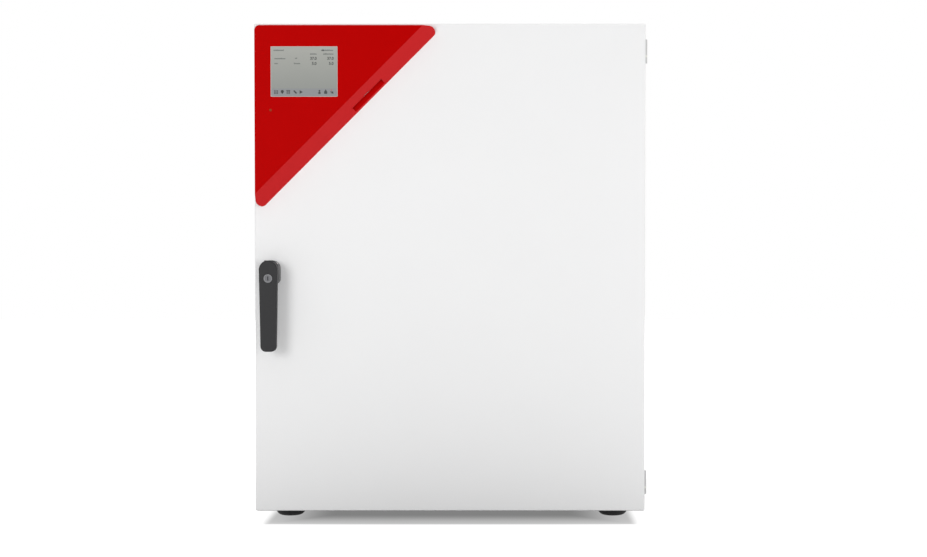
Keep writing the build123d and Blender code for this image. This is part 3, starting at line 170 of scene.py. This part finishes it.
# The floor: its reach, and its tone far from the cabinet and beside it. The shadow under the cabinet is
# painted on
# the floor: it grows paler over the slope, and ends between the fade, inside its outline, and the blur,
# outside it.
floor_reach = 12.0
floor_cells = 8
floor_tone = 0.8
near_floor_tone = 0.05
near_floor_reach = 0.5
shadow_deep = 0.22
shadow_pale = 0.5
shadow_side = 12 * MM
shadow_front = 22 * MM
shadow_slope = 120 * MM
shadow_fade = 15 * MM
shadow_blur = 6 * MM

# Nodes whose finish differs from that of their slot; the handle's base is made lighter than the lever, which
# is painted light
own_finishes = {"lock_plug": "lock_face", "handle_base": "base_painted_lighter"}

facing_front = Matrix.Rotation(math.radians(90), 4, "X")


# Colours

def paint(red, green, blue):
    """A colour as a screen shows it, 0 to 255, in the linear light that a shader works in."""
    channels = []
    for level in (red, green, blue):
        share = level / 255
        channels.append(share / 12.92 if share <= 0.04045 else ((share + 0.055) / 1.055) ** 2.4)
    return (*channels, 1.0)


def linear(red, green, blue):
    return (red, green, blue, 1.0)


def grey(level):
    return linear(level, level, level)


def shade(colour, factor):
    return linear(*(channel * factor for channel in colour[:3]))


black = grey(0.0)
white = grey(1.0)


# Shaders

class Value:
    """A shader socket that takes Python's own operators."""

    def __init__(self, surface, socket):
        self.surface = surface
        self.socket = socket

    def __add__(self, other):
        return self.surface.maths("ADD", self, other)

    def __sub__(self, other):
        return self.surface.maths("SUBTRACT", self, other)

    def __rsub__(self, other):
        return self.surface.maths("SUBTRACT", other, self)

    def __mul__(self, other):
        return self.surface.maths("MULTIPLY", self, other)

    def __gt__(self, other):
        return self.surface.maths("GREATER_THAN", self, other)

    def __lt__(self, other):
        return self.surface.maths("LESS_THAN", self, other)

    __radd__ = __add__
    __rmul__ = __mul__


class Nodes:
    """The nodes of a material or of the world, made one after another."""

    def __init__(self, tree):
        self.tree = tree

    def join(self, value, target):
        if isinstance(value, Value):
            self.tree.links.new(value.socket, target)
        else:
            target.default_value = value

    def node(self, kind, settings, sockets, output=0):
        """One node: its settings first, then the values or links of its sockets."""
        made = self.tree.nodes.new("ShaderNode" + kind)
        for name, value in settings.items():
            setattr(made, name, value)
        for key, value in sockets.items():
            self.join(value, made.inputs[key])
        return Value(self, made.outputs[output])

    def maths(self, operation, *terms):
        return self.node("Math", {"operation": operation}, dict(enumerate(terms)))

    def mix(self, share, first, second):
        return self.node("Mix", {"data_type": "RGBA"}, {0: share, 6: first, 7: second}, 2)

    def spread(self, value, low, high, start=0.0, end=1.0):
        """A value between start and end carried to the range from low to high, and held outside it."""
        sockets = {"Value": value, "From Min": start, "From Max": end, "To Min": low, "To Max": high}
        return self.node("MapRange", {"interpolation_type": "SMOOTHSTEP"}, sockets)

    def seen(self):
        """1 for what is looked at, also through glass or in a reflection, and 0 for light that bounces."""
        rays = [
            self.node("LightPath", {}, {}, f"Is {kind} Ray")
            for kind in ("Camera", "Glossy", "Transmission")
        ]
        return self.maths("MAXIMUM", rays[0], self.maths("MAXIMUM", rays[1], rays[2]))


class Surface(Nodes):
    """One material: its main shader, and the nodes that vary it over a piece."""

    def __init__(self, name, **constants):
        self.material = bpy.data.materials.new(name)
        self.material.use_nodes = True
        super().__init__(self.material.node_tree)
        self.shader = self.tree.nodes["Principled BSDF"]
        for socket, value in constants.items():
            self.set(socket.replace("_", " ").title().replace("Ior", "IOR"), value)

    def set(self, socket, value):
        """Give one of the main shader's sockets a number, a colour or a link."""
        self.join(value, self.shader.inputs[socket])

    def place(self, scale=(1, 1, 1), turn=(0, 0, 0)):
        """Object coordinates in metres, stretched and turned."""
        coordinates = self.node("TexCoord", {}, {}, "Object")
        return self.node("Mapping", {}, {"Vector": coordinates, "Scale": scale, "Rotation": turn})

    def along(self, axis, coordinates="Object"):
        """One of the three numbers of a coordinate."""
        place = self.node("TexCoord", {}, {}, coordinates)
        return self.node("SeparateXYZ", {}, {"Vector": place}, axis)

    def noise(self, scale, detail=3.0, place=None):
        sockets = {"Vector": place or self.place(), "Scale": scale, "Detail": detail}
        return self.node("TexNoise", {}, sockets)

    def tint(self, pattern, first, second):
        """The colour goes from first to second as the pattern rises."""
        self.set("Base Color", self.mix(pattern, first, second))

    def wear(self, pattern, middle, below=0.05, above=0.05):
        """The roughness wanders below and above a middle value."""
        self.set("Roughness", self.spread(pattern, middle - below, middle + above))

    def bump(self, height, depth, strength):
        sockets = {"Height": height, "Distance": depth, "Strength": strength}
        self.set("Normal", self.node("Bump", {}, sockets))


# Finishes

def powder_coat(name, colour, roughness=0.42, peel=420):
    """Sprayed and baked paint: a faint orange peel over slow clouds of tone."""
    surface = Surface(name, specular_ior_level=0.2)
    clouds = surface.noise(scale=7, detail=2)
    surface.tint(clouds, shade(colour, factor=0.985), colour)
    surface.wear(surface.noise(scale=60), roughness)
    surface.bump(surface.noise(scale=peel, detail=2), depth=0.02 * MM, strength=0.35)
    return surface.material


def brushed_sheet(name, colour, roughness, along, coarse=4, fine=900):
    """Stainless or galvanised sheet ground in one direction, with short scratches along it."""
    surface = Surface(name, metallic=1.0)
    stretch = [coarse if axis == along else fine for axis in "xyz"]
    grain = surface.noise(scale=1.0, detail=4, place=surface.place(stretch))
    haze = surface.noise(scale=9)
    surface.tint(grain * 0.6 + haze * 0.4, shade(colour, factor=0.88), colour)
    surface.wear(grain * 0.7 + haze * 0.3, roughness, below=0.08, above=0.12)
    surface.bump(grain, depth=0.01 * MM, strength=0.4)
    return surface.material


def turned_metal(name, colour, roughness=0.18):
    """Small bright fittings, with the fine swirl that handling leaves."""
    surface = Surface(name, metallic=1.0)
    swirl = surface.noise(scale=700, detail=4)
    surface.tint(swirl, shade(colour, factor=0.93), colour)
    surface.wear(surface.noise(scale=160), roughness, above=0.08)
    surface.bump(swirl, depth=0.004 * MM, strength=0.3)
    return surface.material


def moulded_plastic(name, colour, roughness=0.45, grain=900, depth=0.03 * MM, shine=0.5):
    """Injection-moulded plastic: a spark-eroded grain and slight flow clouds."""
    surface = Surface(name, specular_ior_level=shine)
    flow = surface.noise(scale=18, detail=2)
    surface.tint(flow, shade(colour, factor=0.94), colour)
    surface.wear(surface.noise(scale=grain / 3), roughness)
    surface.bump(surface.noise(scale=grain), depth, strength=0.5)
    return surface.material


def soft_rubber(name, colour, roughness=0.7):
    """Rubber and silicone with a dusty bloom and a fine skin."""
    surface = Surface(name)
    bloom = surface.noise(scale=40, detail=4)
    surface.tint(bloom, shade(colour, factor=0.86), shade(colour, factor=1.08))
    surface.wear(surface.noise(scale=240), roughness, below=0.08, above=0.08)
    surface.bump(surface.noise(scale=1100), depth=0.05 * MM, strength=0.5)
    return surface.material


def float_glass(name, colour):
    """Clear door glass with the faint smears that wiping leaves."""
    surface = Surface(name, transmission_weight=1.0, ior=1.45, base_color=colour)
    smears = surface.noise(scale=1.0, place=surface.place(scale=(6, 1, 22), turn=(0, 0.5, 0)))
    surface.set("Roughness", surface.spread(smears, low=0.0, high=0.035))
    return surface.material


def mineral_wool(name, colour):
    """A felt of fibres, longest from front to back."""
    surface = Surface(name, roughness=0.95)
    fibres = surface.noise(scale=1.0, detail=6, place=surface.place(scale=(900, 60, 400)))
    surface.tint(fibres, shade(colour, factor=0.6), colour)
    surface.bump(fibres, depth=1.0 * MM, strength=0.9)
    return surface.material


def heater_foil(name, dull, bright):
    """Aluminium foil with the element pressed through it in long runs."""
    surface = Surface(name, metallic=1.0)
    runs = surface.node("TexWave", {"bands_direction": "Z"}, {"Vector": surface.place(), "Scale": 22.0})
    wrinkles = surface.noise(scale=120, detail=4)
    surface.tint(runs, dull, bright)
    surface.set("Roughness", surface.spread(wrinkles, low=0.25, high=0.5))
    surface.bump(runs + wrinkles * 0.4, depth=0.3 * MM, strength=0.6)
    return surface.material


def circuit_laminate(name, mask, tracks):
    """Green solder mask over copper tracks."""
    surface = Surface(name, coat_weight=0.4, coat_roughness=0.2)
    upright = surface.place(turn=(math.radians(90), 0, 0))
    cells = surface.node("TexBrick", {}, {"Vector": upright, "Scale": 90.0, "Mortar Size": 0.06}, "Fac")
    surface.tint(cells, mask, tracks)
    surface.set("Roughness", surface.spread(surface.noise(scale=300), low=0.35, high=0.5))
    surface.bump(cells, depth=0.04 * MM, strength=0.6)
    return surface.material


def lcd_screen(name, foot, head, bar, lines):
    """The lit display: lighter towards its head, a bluish bar along the foot, and a fine grid of cells."""
    surface = Surface(name, coat_weight=0.5, coat_roughness=0.04, roughness=0.3, specular_ior_level=0.1)
    height = 1 / (display_high.z - display_low.z)
    rise = (surface.along("Z") - display_low.z) * height
    picture = surface.mix(rise, foot, head)
    picture = surface.mix(rise < bar_share, picture, bar)
    grid = surface.node("TexChecker", {}, {"Vector": surface.place(), "Scale": 2800.0}, "Fac")
    surface.tint(grid * 0.04, picture, lines)
    return surface.material


def panel_plastic(name, face, bevel):
    """The panel's satin red, with painted light on the bevel that looks down to the right: a lighter red
    there, as if more light fell on it.
    """
    surface = Surface(name, specular_ior_level=0.02)
    # Faces that look down to the right take the bevel's lighter red, which is painted light
    painted_light_bevel = (surface.along("X", "Normal") - surface.along("Z", "Normal")) > 0.5
    flow = surface.noise(scale=18, detail=2)
    surface.tint(flow * 0.08, surface.mix(painted_light_bevel, face, bevel), shade(face, factor=0.5))
    surface.set("Roughness", surface.spread(surface.noise(scale=400), low=0.38, high=0.5))
    surface.bump(surface.noise(scale=1200), depth=0.012 * MM, strength=0.5)
    return surface.material


def lit_lens(name, colour, light):
    """A frosted lens with a lamp behind it."""
    surface = Surface(name, roughness=0.4, specular_ior_level=0.1, emission_strength=0.35)
    frost = surface.noise(scale=2600)
    surface.tint(frost, shade(colour, factor=0.8), colour)
    surface.set("Emission Color", surface.mix(frost, shade(light, factor=0.7), light))
    return surface.material


finishes = {
    "white_paint": powder_coat("shell_white", linear(0.86, 0.861, 0.863)),
    "zinc_sheet": brushed_sheet("galvanised_sheet", linear(0.56, 0.58, 0.6), 0.45, along="z"),
    "stainless_satin": brushed_sheet("chamber_stainless", linear(0.66, 0.66, 0.65), 0.3, along="x"),
    "stainless_bright": turned_metal("fitting_stainless", linear(0.68, 0.68, 0.67)),
    "hinge_metal": powder_coat("hinge_grey", paint(206, 206, 206), roughness=0.38, peel=700),
    "lock_chrome": turned_metal("lock_chrome", linear(0.12, 0.12, 0.124), roughness=0.3),
    "lock_face": turned_metal("lock_face", linear(0.085, 0.085, 0.09), roughness=0.3),
    "nylon": moulded_plastic("washer_nylon", paint(226, 226, 220), roughness=0.4),
    # The bevel's lighter red is painted light on the panel's own red
    "red_panel": panel_plastic("panel_red", face=paint(181, 0, 0), bevel=paint(200, 40, 42)),
    "black_plastic": moulded_plastic(
        "handle_black", paint(46, 46, 47), roughness=0.45, grain=1000, depth=0.04 * MM, shine=0.15
    ),
    # The handle's base is a lighter black than the lever: painted light, for the lit side of its neck
    "base_painted_lighter": moulded_plastic(
        "base_painted_lighter", paint(66, 66, 67), roughness=0.4, grain=1000, depth=0.04 * MM, shine=0.3
    ),
    "black_rubber": soft_rubber("foot_rubber", paint(24, 24, 25)),
    "grey_seal": soft_rubber("door_seal_grey", paint(188, 188, 186)),
    "clear_silicone": soft_rubber("silicone_seal", paint(222, 224, 220), roughness=0.45),
    "door_glass": float_glass("inner_glass", linear(0.93, 0.97, 0.95)),
    "wool": mineral_wool("mineral_wool", paint(214, 200, 150)),
    "foil": heater_foil("heater_foil", dull=linear(0.62, 0.62, 0.63), bright=linear(0.84, 0.84, 0.85)),
    "circuit_board": circuit_laminate("board_green", mask=paint(18, 84, 46), tracks=paint(46, 132, 74)),
    "brass": turned_metal("nozzle_brass", linear(0.72, 0.54, 0.26), roughness=0.26),
    "valve_body": moulded_plastic("valve_black", paint(40, 40, 43), roughness=0.4),
    "filter_white": moulded_plastic("filter_white", paint(230, 230, 226), roughness=0.35),
    "blue_hose": soft_rubber("hose_blue", paint(46, 88, 160), roughness=0.4),
    "display": lcd_screen(
        "display_picture", foot=paint(139, 142, 138), head=paint(166, 167, 161), bar=paint(139, 141, 143),
        lines=grey(0.1),
    ),
    "green_light": lit_lens("status_lens", paint(140, 40, 12), light=paint(140, 36, 12)),
}

faint_ink = moulded_plastic("screen_faint", paint(104, 108, 106), roughness=0.6)
ink = moulded_plastic("screen_ink", paint(44, 48, 48), roughness=0.6)
red_ink = moulded_plastic("screen_red", paint(176, 78, 62), roughness=0.6)
rim_ink = moulded_plastic("screen_rim", paint(184, 182, 178), roughness=0.5)


def dress_nodes():
    """Give every solid of the frame the finish of its material slot, or its own."""
    for entry in frame["record"]["subparts"]:
        slots = frame["nodes"][entry["node"]].data.materials
        slots.clear()
        slots.append(finishes[own_finishes.get(entry["node"], entry["material_slot"])])


# Making pieces

def add_object(name, data):
    made = bpy.data.objects.new(name, data)
    bpy.context.scene.collection.objects.link(made)
    return made


def add_mesh(name, mesh, material):
    """Turn a bmesh into a named object of one material."""
    data = bpy.data.meshes.new(name)
    mesh.to_mesh(data)
    mesh.free()
    data.materials.append(material)
    return add_object(name, data)


def finish_piece(name, mesh, body, slot, material=None, sharp=40):
    """Turn a bmesh into a piece that rides on a body, with edges of more than so many degrees kept sharp."""
    piece = add_mesh(name, mesh, material or finishes[slot])
    for face in piece.data.polygons:
        face.use_smooth = True
    piece.data.set_sharp_from_angle(angle=math.radians(sharp))
    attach(piece, body)
    return piece


def add_plate(mesh, x, y, z, radius=0.0):
    """A small plate between low and high values, its four front corners rounded."""
    middle = Matrix.Translation((sum(x) / 2, sum(y) / 2, sum(z) / 2))
    size = Vector((x[1] - x[0], y[1] - y[0], z[1] - z[0]))
    made = bmesh.ops.create_cube(mesh, size=1.0, matrix=middle @ Matrix.Diagonal((*size, 1.0)))
    if radius:
        edges = {edge for vert in made["verts"] for edge in vert.link_edges}
        deep = [edge for edge in edges if abs((edge.verts[0].co - edge.verts[1].co).y) > size.y / 2]
        bmesh.ops.bevel(
            mesh, geom=deep, offset=radius, offset_type="OFFSET", affect="EDGES", segments=corner_segments,
            profile=0.5, material=-1,
        )


def add_disc(mesh, middle, radius, sides, turn=0.0):
    """A flat shape of ink with so many sides, turned in the display's plane."""
    front, back = ink_reach
    place = Matrix.Translation((middle[0], (front + back) / 2, middle[1])) @ facing_front
    bmesh.ops.create_cone(
        mesh, cap_ends=True, segments=sides, radius1=radius, radius2=radius, depth=back - front,
        matrix=place @ Matrix.Rotation(math.radians(turn), 4, "Z"),
    )


def add_rectangle(mesh, x, y, z):
    """Four edges that face the front, from a ring of four corners stretched to size."""
    place = Matrix.Translation((sum(x) / 2, y, sum(z) / 2)) @ facing_front
    size = Matrix.Diagonal((x[1] - x[0], z[1] - z[0], 1.0, 1.0))
    corners = Matrix.Rotation(math.radians(45), 4, "Z")
    made = bmesh.ops.create_circle(
        mesh, cap_ends=False, radius=math.sqrt(0.5), segments=4, matrix=place @ size @ corners
    )
    return list({edge for vert in made["verts"] for edge in vert.link_edges})


# Seals

def swept_frame(name, body, slot, node, profile, faces_front):
    """A seal: one profile carried round a rectangle and mitred, in place of the node's plain ring."""
    low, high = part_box(node)
    root, lip = (high.y, low.y) if faces_front else (low.y, high.y)
    mesh = bmesh.new()
    loops = []
    for inward, outward in profile:
        inset = inward * seal_width
        x = (low.x + inset, high.x - inset)
        z = (low.z + inset, high.z - inset)
        loops.append(add_rectangle(mesh, x, root + outward * (lip - root), z))
    for first, second in zip(loops, loops[1:] + loops[:1]):
        bmesh.ops.bridge_loops(mesh, edges=first + second)
    bmesh.ops.recalc_face_normals(mesh, faces=mesh.faces)
    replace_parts(finish_piece(name, mesh, body, slot, sharp=60), node)


def door_seal():
    """The outer door's magnetic seal: a bellows foot on the door and a rounded bulb towards the cabinet."""
    swept_frame("door_seal", "door", "grey_seal", "door_gasket", door_seal_profile, faces_front=False)


def pane_seal():
    """The silicone lip that the glass door closes on."""
    swept_frame("pane_seal", "cabinet", "clear_silicone", "glass_seal", pane_seal_profile, faces_front=True)


# The display's picture

def on_screen(across, down):
    """A pixel of the photograph as a place on the display, in metres."""
    left, right, top, bottom = display_pixels
    x = display_low.x + (across - left) / (right - left) * (display_high.x - display_low.x)
    z = display_high.z - (down - top) / (bottom - top) * (display_high.z - display_low.z)
    return x, z


def finish_ink(name, mesh, material):
    finish_piece(name, mesh, "door", "display", material)


def screen_words():
    """Headings, labels and units, as rows of blocks the size of small letters."""
    letters = random.Random(letter_seed)
    mesh = bmesh.new()
    for left, right, down in screen_labels:
        x, z = on_screen(left, down)
        end = on_screen(right, down)[0]
        while x < end:
            width = letters.uniform(*letter_widths) * MM
            rise = letters.choice(letter_rises) * MM
            add_plate(mesh, (x, min(x + width, end)), ink_reach, (z - letter_foot, z + rise))
            x += width + letter_gap
    finish_ink("screen_words", mesh, faint_ink)


def screen_spot(name, pixel, radius, sides, material):
    """A round spot of ink."""
    mesh = bmesh.new()
    add_disc(mesh, on_screen(*pixel), radius, sides)
    finish_ink(name, mesh, material)


def screen_rim():
    """The pale edge of the picture, a ring of four strips round the display."""
    left, right = display_low.x, display_high.x
    bottom, top = display_low.z, display_high.z
    mesh = bmesh.new()
    for z in ((top - rim_width, top), (bottom, bottom + rim_width)):
        add_plate(mesh, (left, right), ink_reach, z)
    for x in ((left, left + rim_width), (right - rim_width, right)):
        add_plate(mesh, x, ink_reach, (bottom + rim_width, top - rim_width))
    finish_ink("screen_rim", mesh, rim_ink)


def screen_numbers():
    """Actual value and set point of temperature and carbon dioxide."""
    for index, (number, across, down) in enumerate(screen_values):
        curve = bpy.data.curves.new("number_curve", "FONT")
        curve.body = number
        curve.size = number_size
        curve.offset = number_weight
        curve.align_x = "CENTER"
        curve.align_y = "CENTER"
        curve.extrude = number_depth
        holder = add_object("number_holder", curve)
        bpy.context.view_layer.update()
        mesh = bmesh.new()
        mesh.from_mesh(bpy.data.meshes.new_from_object(holder))
        bpy.data.objects.remove(holder)
        x, z = on_screen(across, down)
        place = Matrix.Translation((x, ink_reach[0] + number_depth, z)) @ facing_front
        bmesh.ops.transform(mesh, matrix=place, verts=mesh.verts)
        finish_ink(f"screen_number_{index}", mesh, ink)


def add_sign(mesh, drawing, middle):
    """One sign's blocks and discs round its middle."""
    x, z = middle
    for left, right, low, high in drawing.get("blocks", []):
        across = (x + left * sign_unit, x + right * sign_unit)
        up = (z + low * sign_unit, z + high * sign_unit)
        add_plate(mesh, across, ink_reach, up, sign_corner * sign_unit)
    for across, up, radius, sides, turn in drawing.get("discs", []):
        add_disc(mesh, (x + across * sign_unit, z + up * sign_unit), radius * sign_unit, sides, turn)


def screen_icons():
    """Touch fields along the bottom bar, as plain generic signs."""
    mesh = bmesh.new()
    for drawing, across in zip(sign_drawings.values(), sign_columns):
        add_sign(mesh, drawing, on_screen(across, sign_row))
    finish_ink("screen_icons", mesh, ink)


# Rear fittings

def network_contacts():
    """Sprung contacts in the network socket."""
    low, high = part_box("network_socket")
    middle = (low.x + high.x) / 2
    top = (low.z + high.z) / 2 + contact_rise
    y = (high.y - contact_deep, high.y - contact_shallow)
    mesh = bmesh.new()
    for index in range(contact_count):
        x = middle + (index - (contact_count - 1) / 2) * contact_pitch
        add_plate(mesh, (x - contact_width / 2, x + contact_width / 2), y, (top - contact_height, top))
    finish_piece("network_contacts", mesh, "cabinet", "brass")


def switch_mark():
    """The line that means on, on the upper half of the mains rocker."""
    low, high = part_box("rocker_switch")
    x = (low.x + high.x) / 2
    middle = (low.z + high.z) / 2
    y = [high.y - depth for depth in switch_mark_depth]
    z = [middle + rise for rise in switch_mark_reach]
    mesh = bmesh.new()
    add_plate(mesh, (x - switch_mark_width / 2, x + switch_mark_width / 2), y, z)
    finish_piece("switch_mark", mesh, "mains_rocker", "filter_white")


# Stage

def floor_material():
    """White where it is looked at, with a soft shadow painted over the cabinet's footprint.

    Beside the cabinet little light bounces off it, so the door grows darker towards its foot."""
    low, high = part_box("housing_wrap")
    half_width = (high.x - low.x) / 2
    half_depth = (high.y - door_face) / 2
    surface = Surface("studio_floor", roughness=0.9, specular_ior_level=0.0, emission_strength=1.0)
    across = surface.along("X") - (high.x + low.x) / 2
    deep = surface.along("Y") - (high.y + door_face) / 2
    outside = surface.maths(
        "MAXIMUM",
        surface.maths("ABSOLUTE", across) - (half_width - shadow_side),
        surface.maths("ABSOLUTE", deep) - (half_depth + shadow_front),
    )
    # The painted shadow: deep in the footprint's middle, paler towards its edge, and white outside it
    under = surface.spread(outside, shadow_deep, shadow_pale, start=-shadow_slope, end=-shadow_fade)
    edge = surface.spread(outside, 0.0, 1.0, start=-shadow_fade, end=shadow_blur)
    white_with_painted_shadow = under + edge * (1 - under)
    surface.set("Emission Color", surface.mix(surface.seen() * white_with_painted_shadow, black, white))
    distance = surface.maths("SQRT", across * across + deep * deep)
    far_edge = half_width + near_floor_reach
    surface.tint(surface.spread(distance, near_floor_tone, floor_tone, half_width, far_edge), black, white)
    return surface.material


def studio():
    """The floor, and a world that is white where it is looked at and dimmer where it only lights."""
    mesh = bmesh.new()
    bmesh.ops.create_grid(mesh, x_segments=floor_cells, y_segments=floor_cells, size=floor_reach)
    add_mesh("floor", mesh, floor_material())
    world = bpy.data.worlds.new("studio")
    bpy.context.scene.world = world
    world.use_nodes = True
    sky = Nodes(world.node_tree)
    backdrop = sky.mix(sky.seen(), grey(ambient_light), white)
    sky.join(backdrop, world.node_tree.nodes["Background"].inputs["Color"])


def light_up():
    for name, place, target, width, height, watts in lamps:
        data = bpy.data.lights.new(name, "AREA")
        data.shape = "RECTANGLE"
        data.size = width
        data.size_y = height
        data.energy = watts
        lamp = add_object(name, data)
        lamp.location = place
        lamp.rotation_euler = (Vector(target) - Vector(place)).to_track_quat("-Z", "Y").to_euler()


def aim_camera():
    """Stand where the photograph was taken, with its slight downward tilt and off-centre framing."""
    data = bpy.data.cameras.new("camera")
    data.sensor_fit = "HORIZONTAL"
    data.sensor_width = sensor_width
    data.lens = focal_pixels / photo_width * sensor_width
    data.shift_x = (photo_width / 2 - eye_pixel[0]) / photo_width
    data.shift_y = (eye_pixel[1] - photo_height / 2) / photo_width
    camera = add_object("camera", data)
    camera.location = (door_middle + eye_right, door_face - eye_back, eye_height)
    camera.rotation_euler = (math.radians(90 - eye_tilt), 0, 0)
    bpy.context.scene.camera = camera


dress_nodes()
door_seal()
pane_seal()
screen_words()
screen_spot("screen_mark", mark_pixel, mark_radius, mark_sides, ink)
screen_rim()
screen_numbers()
screen_icons()
screen_spot("screen_alarm", alarm_pixel, alarm_radius, alarm_sides, red_ink)
network_contacts()
switch_mark()
studio()
light_up()
aim_camera()
bpy.context.scene.view_settings.view_transform = "Standard"
